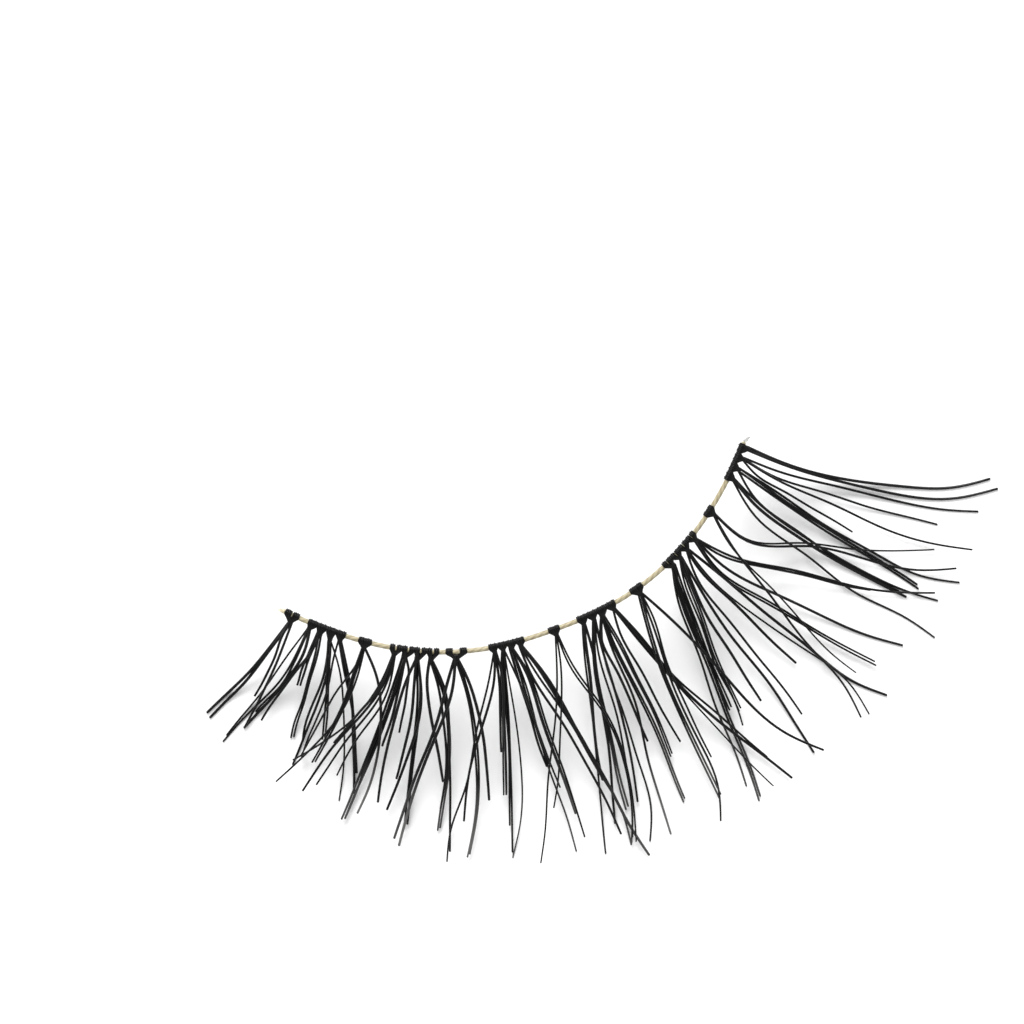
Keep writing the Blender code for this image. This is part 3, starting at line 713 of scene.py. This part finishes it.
@dataclass(frozen=True)
class Fall:
    """The surface that all hairs follow from the knots down to the table.

    Height is r + (band height - r) (1 - d / fall)^power for a hair of radius r at
    a distance d from the thread, plus a step for each layer.  Close to the
    thread d is shortened, so that the fall starts at the knots' gathers.
    """

    band: Band
    inner: float = 6.0
    outer: float = 12.3
    inner_power: float = 1.5
    outer_power: float = 3.2
    blend_end: float = 0.40
    steepen_start: float = 0.65
    layer_step: float = 0.28
    layer_run: float = 1.6
    knot_reach: float = 0.42
    knot_blend: float = 0.9

    def heights(self, plan: Array, layers: Array, radii: Array) -> Array:
        """Heights of hair centres.

        Args:
            plan: Strands x stations x 2, in mm.
            layers: One layer per strand.
            radii: Strands x stations.

        Returns:
            Strands x stations, in mm above the table.
        """
        curve, arc = self.band.curve()
        offsets = np.linalg.norm(plan[:, :, None] - curve, axis=3)
        nearest = offsets.argmin(axis=2)
        distance = offsets.min(axis=2)
        shortened = np.exp(-(((distance - self.knot_reach) / self.knot_blend) ** 2))
        distance = np.maximum(distance - self.knot_reach * shortened, 0.0)
        along = arc[nearest] / arc[-1]
        fall = self.inner + (self.outer - self.inner) * smooth_step(along / self.blend_end)
        steep = smooth_step((along - self.steepen_start) / (1.0 - self.steepen_start))
        power = self.inner_power + (self.outer_power - self.inner_power) * steep
        left = np.clip(1.0 - distance / fall, 0.0, 1.0) ** power
        raised = layers[:, None] * self.layer_step * np.clip(distance / self.layer_run, 0.0, 1.0)
        return radii + (self.band.start()[2] - radii) * left + raised


@dataclass(frozen=True)
class Tuft:
    """One knot and its hairs, made as a single mesh.

    A hair of the chart that is at least pair_width wide becomes two hairs, each
    pair_share as wide, pair_offset to either side.  Wraps press into the thread a
    little, and each wrap's middle strands stand up by a share of their thickness.
    """

    name: str
    distance: float
    width: float
    hitch: Hitch
    knot: Knot
    band: Band
    fall: Fall
    stations: int = 34
    hair_sides: int = 8
    knot_sides: int = 8
    pair_width: float = 0.185
    pair_offset: float = 0.23
    pair_share: float = 0.62
    pair_shorter: float = 0.985
    spread: float = 0.15
    lift: float = 0.10
    tip_taper: float = 0.20
    root_run: float = 0.20
    pressed: float = 0.015
    crown: float = 0.30
    wrap_fill: float = 0.54
    wave: float = 0.015

    def numbers(self) -> np.random.Generator:
        """Seeded random numbers, the same for this tuft on every run."""
        return np.random.default_rng([SEED, *self.name.encode()])

    def rows(self) -> Array:
        """The chart's rows for single hairs: a wide one gives two, side by side.

        Columns are reach, bearing, four sways, width, layer, side offset, painted tip sheen.
        """
        table = np.array([
            [h.reach, h.bearing, *h.sway, h.width, h.layer, 0.0, h.tip.value]
            for h in self.knot.hairs
        ])
        wide = table[:, 6] >= self.pair_width
        left, right = table[wide].copy(), table[wide].copy()
        left[:, 8] = -self.pair_offset * left[:, 6]
        right[:, 8] = self.pair_offset * right[:, 6]
        left[:, 6] *= self.pair_share
        right[:, 6] *= self.pair_share
        right[:, 0] *= self.pair_shorter
        return np.concatenate([table[~wide], left, right])

    def hairs(self) -> Strands:
        """The hairs from just inside the knot to their tips.

        In plan a hair runs reach x share along its bearing, with the sway's
        spline and a faint wave to the side.  At the gather the hairs lie beside
        each other in the order in which they leave.
        """
        rows = self.rows()
        count = len(rows)
        share = np.linspace(0.0, 1.0, self.stations)
        weights = spline_weights(np.array([0.0, *SWAY_STATIONS, 1.0]), share)[:, 1:-1]
        sway = rows[:, 2:6] / 100.0 @ weights.T
        heading = np.radians(rows[:, 1])
        ahead = np.column_stack([np.sin(heading), -np.cos(heading)])
        aside = np.column_stack([np.cos(heading), np.sin(heading)])
        centre, along, away = self.band.place(self.distance)
        leaving = rows[:, 1] + np.degrees(np.arctan(rows[:, 2] / 15.0))
        rank = leaving.argsort().argsort() / max(count - 1, 1) - 0.5
        draw = self.numbers()
        phase = draw.uniform(0.0, 2.0 * np.pi, (count, 2))
        ripple = np.sin(7.0 * share + phase[:, :1]) + 0.6 * np.sin(13.0 * share + phase[:, 1:])
        ripple = self.wave * ripple * np.sin(np.pi * share) ** 0.5
        near = (1.0 - share) ** 3
        sideways = rows[:, :1] * sway + rows[:, 8:9] * (1.0 + 0.5 * share) + ripple
        plan = rows[:, :1, None] * share[:, None] * ahead[:, None]
        plan = plan + sideways[:, :, None] * aside[:, None]
        plan = plan + (rank[:, None] * self.spread * near)[:, :, None] * along[0, :2]
        plan = plan + (centre + self.knot.gather * away + self.knot.lean * along)[0, :2]
        radii = rows[:, 6:7] / 2.0 * (1.0 - self.tip_taper * share**4)
        heights = self.fall.heights(plan, rows[:, 7], radii)
        turns = (np.arange(count) * 0.618) % 1.0 - 0.5
        heights = heights + (turns[:, None] * self.lift) * (1.0 - share)
        points = np.concatenate([plan, heights[:, :, None]], axis=2)
        inside = points[:, :1] - self.root_run * away + np.array([0.0, 0.0, 0.02])
        points = np.concatenate([inside, points], axis=1)
        radii = np.concatenate([0.9 * radii[:, :1], radii], axis=1)
        return Strands(points, radii, rows[:, 9], draw.uniform(0.0, 1.0, count))

    def wraps(self) -> Strands:
        """The knot: strands that come up the legs, wrap the thread and meet in its loop.

        Each strand follows a spline through points given in a frame of (along,
        away, up): the gather, the leg, round the thread at its radius plus the
        strand's, then under the legs to the loop's middle.
        """
        per_wrap = self.hitch.value
        thick = min((self.width + 0.02) / (2 * per_wrap), 0.100)
        around = self.band.radius - self.pressed + thick / 2.0
        side = np.repeat([-1.0, 1.0], per_wrap)
        rank = np.tile(np.arange(per_wrap), 2)
        place = side * (self.width / 2.0 - thick * (rank + 0.5))
        draw = self.numbers()
        angles = np.radians([62.0, 118.0, 180.0, 242.0, 300.0, 342.0])
        count = len(side)
        raised = self.crown * thick * (1.0 - np.abs(2.0 * rank / (per_wrap - 1) - 1.0))
        loose = around + raised[:, None] + around * draw.uniform(-0.02, 0.04, (count, 1))
        ring = loose[:, :, None] * np.stack([np.cos(angles), np.sin(angles)], -1)
        gather = self.knot.gather
        leg_out = np.tile([[gather + 0.10, -0.03], [0.62 * gather + 0.02, 0.10]], (count, 1, 1))
        reach = around + 0.90 * thick * (per_wrap - 1 - rank)
        loop = np.stack([reach, -0.10 + 0.3 * (reach - around)], -1)[:, None]
        flat = np.concatenate([leg_out, ring, loop], axis=1)
        pinch = np.array([0.10, 0.52, 1.0, 1.0, 1.0, 1.0, 0.95, 0.75, 0.0])
        shift = place[:, None] * pinch + draw.uniform(-0.008, 0.008, (count, 9))
        shift[:, :2] += self.knot.lean * np.array([1.1, 0.5])
        controls = np.concatenate([shift[:, :, None], flat], axis=2)
        weights = spline_weights(np.linspace(0.0, 1.0, 9), np.linspace(0.0, 1.0, 40))
        local = np.einsum("sk,nkc->nsc", weights, controls)
        centre, along, away = self.band.place(self.distance)
        axes = np.stack([along[0], away[0], np.array([0.0, 0.0, 1.0])])
        points = local @ axes + centre[0]
        radii = np.full(points.shape[:2], self.wrap_fill * thick)
        return Strands(points, radii, np.zeros(count), draw.uniform(0.0, 1.0, count))

    def build(self, material: bpy.types.Material) -> bpy.types.Object:
        """Makes the tuft's mesh, dresses it and puts it in its solid's place."""
        _, along, _ = self.band.place(self.distance)
        parts = [
            self.hairs().mesh_parts(self.hair_sides, np.array([0.0, 0.0, 1.0])),
            self.wraps().mesh_parts(self.knot_sides, along[0]),
        ]
        piece = mesh_piece(self.name.replace("tuft", "hair"), parts)
        piece.data.materials.append(material)
        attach(piece, "root")
        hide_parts(self.name)
        return piece


@dataclass(frozen=True)
class Thread:
    """The band's thread: three plies laid in a slow twist, frayed at its inner end."""

    band: Band
    plies: int = 3
    lay: float = 1.3
    relief: float = 0.035
    stations: int = 700
    sides: int = 24
    end_margin: float = 0.15
    rounded_end: float = 0.10
    pale_run: float = 0.5
    paleness: float = 0.7
    groove_shade: float = 0.55
    fray_fibres: int = 9
    fray_reach: float = 0.42
    fray_radius: float = 0.026
    fray_taper: float = 0.65
    fray_turn: float = 0.55

    def body(self) -> tuple[Array, Array, dict[str, Array]]:
        """The twisted thread as a grid of (distance, angle).

        The radius is R (1 + relief cos(plies (angle - 2 pi distance / lay))), and
        the last of it narrows to a rounded end.
        """
        length = self.band.length()
        distance = np.linspace(0.0, length, self.stations)
        _, along, away = self.band.place(np.clip(distance, self.end_margin, length - self.end_margin))
        centre, _, _ = self.band.place(distance)
        up = np.cross(away, along)
        turn = 2.0 * np.pi * np.arange(self.sides) / self.sides
        ply = self.plies * (turn - 2.0 * np.pi * distance[:, None] / self.lay)
        ends = np.minimum(distance, length - distance)
        rounding = np.clip(ends / self.rounded_end, 0.0, 1.0)
        taper = np.sqrt(np.clip(1.0 - (1.0 - rounding) ** 2, 0.12, 1.0))
        radius = self.band.radius * (1.0 - self.relief + self.relief * np.cos(ply)) * taper[:, None]
        spoke = np.cos(turn)[:, None] * away[:, None] + np.sin(turn)[:, None] * up[:, None]
        rings = centre[:, None] + radius[:, :, None] * spoke
        poles = centre[[0, -1]] + along[[0, -1]] * np.array([[-0.02], [0.02]])
        vertices = np.concatenate([rings.reshape(-1, 3), poles])
        lengths = np.repeat(distance, self.sides)
        extra = np.array([0.0, length])
        # Painted shade mask: strongest where the plies dip into the lay, scaled by groove_shade.
        groove = smooth_step((0.2 - np.cos(ply)) / 1.2).ravel()
        pale = np.repeat(smooth_step(1.0 - distance / self.pale_run), self.sides)
        attributes = {
            "along": np.concatenate([lengths, extra]) / length,
            "run": np.concatenate([lengths, extra]),
            "around": np.concatenate([np.tile(turn / (2.0 * np.pi), self.stations), [0.0, 0.0]]),
            "tip": np.concatenate([self.paleness * pale, [self.paleness, 0.0]]),
            "tone": np.full(len(vertices), 0.3),
            "groove": np.concatenate([self.groove_shade * groove, [0.0, 0.0]]),
        }
        return vertices, tube_faces(self.stations, self.sides), attributes

    def fray(self) -> tuple[Array, Array, dict[str, Array]]:
        """Fibres that fan out of the thread's inner end and curl inward, thin and pale."""
        draw = np.random.default_rng(SEED + 1)
        _, along, away = self.band.place(np.array([self.end_margin]))
        end, _, _ = self.band.place(np.array([0.0]))
        count = self.fray_fibres
        share = np.linspace(0.0, 1.0, 12)
        out = unit(-along - self.fray_turn * away)
        up = np.array([0.0, 0.0, 1.0])
        angle = draw.uniform(0.0, 2.0 * np.pi, count)
        reach = self.fray_reach * draw.uniform(0.6, 1.0, count)
        fan = np.cos(angle)[:, None] * away + np.sin(angle)[:, None] * up
        root = end - 0.10 * out + 0.5 * self.band.radius * fan
        drift = draw.uniform(0.02, 0.16, count)
        points = root[:, None] + reach[:, None, None] * share[:, None] * out
        points = points + (drift[:, None] * share**1.7)[:, :, None] * fan[:, None]
        radii = self.fray_radius * (1.0 - self.fray_taper * share) * np.ones((count, 1))
        strands = Strands(points, radii, np.ones(count), draw.uniform(0.0, 1.0, count))
        vertices, faces, attributes = strands.mesh_parts(6, up)
        attributes["groove"] = np.zeros(len(vertices))
        return vertices, faces, attributes

    def build(self, material: bpy.types.Material) -> bpy.types.Object:
        """Makes the thread's mesh, dresses it and puts it in its solid's place."""
        piece = mesh_piece("twisted_thread", [self.body(), self.fray()])
        piece.data.materials.append(material)
        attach(piece, "root")
        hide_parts("band_thread")
        return piece


@dataclass(frozen=True)
class GlueFlake:
    """A curled flake of dried glue on the thread's outer end."""

    band: Band
    length: float = 0.42
    width: float = 0.24
    thickness: float = 0.03
    curl: float = 1.1

    def build(self, material: bpy.types.Material) -> bpy.types.Object:
        """Makes the flake as a closed shell of two curled faces.

        A point is length p ahead and width q (1 - 0.75 p) across, lifted by
        curl x p^2 and rolled across, with half the thickness to either side.
        """
        steps = 14
        p, q = np.meshgrid(np.linspace(0.0, 1.0, steps), np.linspace(-0.5, 0.5, steps), indexing="ij")
        length = self.band.length()
        _, along, away = self.band.place(np.array([length - 0.15]))
        end, _, _ = self.band.place(np.array([length]))
        up = np.array([0.0, 0.0, 1.0])
        ahead = unit(along[0] + 0.55 * away[0])
        across = np.cross(up, ahead)
        breadth = self.width * (1.0 - 0.75 * p) * (1.0 + 0.25 * np.sin(9.0 * p + 4.0 * q))
        lift = 0.10 + self.length * (self.curl * p**2 * 0.45 + 0.30 * q**2)
        thin = self.thickness * (1.0 - 0.9 * np.maximum(np.abs(2.0 * q), np.abs(2.0 * p - 1.0)) ** 4) / 2.0
        sheet = end[0] + (self.length * p)[..., None] * ahead + (breadth * q)[..., None] * across
        top = sheet + (lift + thin)[..., None] * up
        bottom = sheet + (lift - thin)[..., None] * up
        vertices = np.concatenate([top.reshape(-1, 3), bottom.reshape(-1, 3)])
        row = np.arange(steps - 1)[:, None] * steps
        column = np.arange(steps - 1)
        corner = row + column
        quad = np.stack([corner, corner + steps, corner + steps + 1, corner + 1], -1).reshape(-1, 4)
        rim = np.concatenate([
            np.arange(steps - 1),
            np.arange(steps - 1) * steps + steps - 1,
            steps * steps - 1 - np.arange(steps - 1),
            (steps - 1 - np.arange(steps - 1)) * steps,
        ])
        onward = np.roll(rim, -1)
        under = steps * steps
        wall = np.stack([rim, onward, onward + under, rim + under], -1)
        faces = np.concatenate([quad, quad[:, ::-1] + under, wall])
        shape = np.concatenate([p.ravel(), p.ravel()])
        attributes = {
            "along": shape,
            "run": shape * self.length,
            "around": np.concatenate([q.ravel(), q.ravel()]) + 0.5,
            "tip": np.zeros(len(vertices)),
            "tone": np.full(len(vertices), 0.5),
        }
        piece = mesh_piece("glue_flake", [(vertices, faces, attributes)])
        piece.data.materials.append(material)
        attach(piece, "root")
        return piece


@dataclass(frozen=True)
class Studio:
    """A pale floor, soft light from the picture's upper left, and a camera straight above."""

    field_width: float = 56.70
    centre: tuple[float, float] = (-3.005, 10.68)
    roll: float = -20.05
    lens: float = 400.0
    sensor: float = 36.0
    focus_height: float = 2.0
    floor_size: float = 0.60
    key_power: float = 1.35
    key_size: float = 0.22
    key_reach: float = 0.34
    fill: float = 0.84

    def camera(self) -> bpy.types.Object:
        """The camera: a long lens looking straight down, so that the plan stays true."""
        data = bpy.data.cameras.new("camera")
        data.lens = self.lens
        data.sensor_width = self.sensor
        data.clip_start = 0.01
        camera = bpy.data.objects.new("camera", data)
        bpy.context.scene.collection.objects.link(camera)
        distance = self.lens * self.field_width / self.sensor
        camera.location = Vector((*self.centre, self.focus_height + distance)) * MM
        camera.rotation_euler = (0.0, 0.0, math.radians(self.roll))
        bpy.context.scene.camera = camera
        bpy.context.scene.view_settings.view_transform = "Standard"
        return camera

    def floor(self) -> bpy.types.Object:
        """The floor: a pale sheet with a barely visible mottle."""
        material, graph, shader = new_material("pale_floor")
        place = graph.add("TexCoord").outputs["Object"]
        mottle = graph.add("TexNoise", {"Vector": place, "Scale": 260.0, "Detail": 4.0})
        colour = graph.between(mottle.outputs[0], (0.90, 0.90, 0.90, 1.0), (0.93, 0.93, 0.93, 1.0))
        graph.tree.links.new(colour, shader.inputs["Base Color"])
        shader.inputs["Roughness"].default_value = 0.70
        shader.inputs["Specular IOR Level"].default_value = 0.2
        half = self.floor_size / 2.0
        corners = [(-half, -half, 0.0), (half, -half, 0.0), (half, half, 0.0), (-half, half, 0.0)]
        mesh = bpy.data.meshes.new("floor")
        mesh.from_pydata(corners, [], [(0, 1, 2, 3)])
        mesh.materials.append(material)
        floor = bpy.data.objects.new("floor", mesh)
        bpy.context.scene.collection.objects.link(floor)
        return floor

    def lights(self) -> None:
        """One soft key light where the photo's shadows fall from, and an even sky."""
        turn = math.radians(self.roll)
        right = Vector((math.cos(turn), math.sin(turn), 0.0))
        up = Vector((-math.sin(turn), math.cos(turn), 0.0))
        aim = (-0.83 * right + 4.00 * up + Vector((0.0, 0.0, 3.3))).normalized()
        data = bpy.data.lights.new("key", "AREA")
        data.shape = "DISK"
        data.size = self.key_size
        data.energy = self.key_power
        key = bpy.data.objects.new("key", data)
        bpy.context.scene.collection.objects.link(key)
        key.location = aim * self.key_reach
        key.rotation_euler = aim.to_track_quat("Z", "Y").to_euler()
        world = bpy.data.worlds.new("soft_sky")
        world.use_nodes = True
        sky = world.node_tree.nodes["Background"]
        sky.inputs["Color"].default_value = (1.0, 1.0, 1.0, 1.0)
        sky.inputs["Strength"].default_value = self.fill
        bpy.context.scene.world = world

    def build(self) -> None:
        """Sets the camera, the floor and the lights."""
        self.camera()
        self.floor()
        self.lights()


@dataclass(frozen=True)
class EyelashStrip:
    """The whole strip: the thread, its glue and every tuft."""

    band: Band = field(default_factory=Band)
    knot_gap: float = 0.005

    def tufts(self) -> list[Tuft]:
        """Every tuft at its place along the thread."""
        length = self.band.length()
        fall = Fall(self.band)
        made = []
        for section in SECTIONS:
            single = section.knots == 1
            width = section.width if single else section.width - self.knot_gap
            hitch = Hitch.SINGLE if single else Hitch.ROW
            for index in range(section.knots):
                name = section.name if single else f"{section.name}_{index + 1}"
                offset = (index - (section.knots - 1) / 2.0) * section.width
                distance = section.along * length + offset
                made.append(Tuft(name, distance, width, hitch, KNOTS[name], self.band, fall))
        return made

    def build(self) -> None:
        """Makes and dresses every piece, and logs each."""
        hair = HairFinish().material()
        pieces = [Thread(self.band).build(ThreadFinish().material())]
        pieces.append(GlueFlake(self.band).build(GlueFinish().material()))
        pieces += [tuft.build(hair) for tuft in self.tufts()]
        for piece in pieces:
            LOG.info("%s: %d faces", piece.name, len(piece.data.polygons))


def main() -> None:
    """Builds the studio and the strip in order."""
    logging.basicConfig(level=logging.INFO, format="%(message)s")
    Studio().build()
    EyelashStrip().build()


if __name__ == "__main__":
    main()
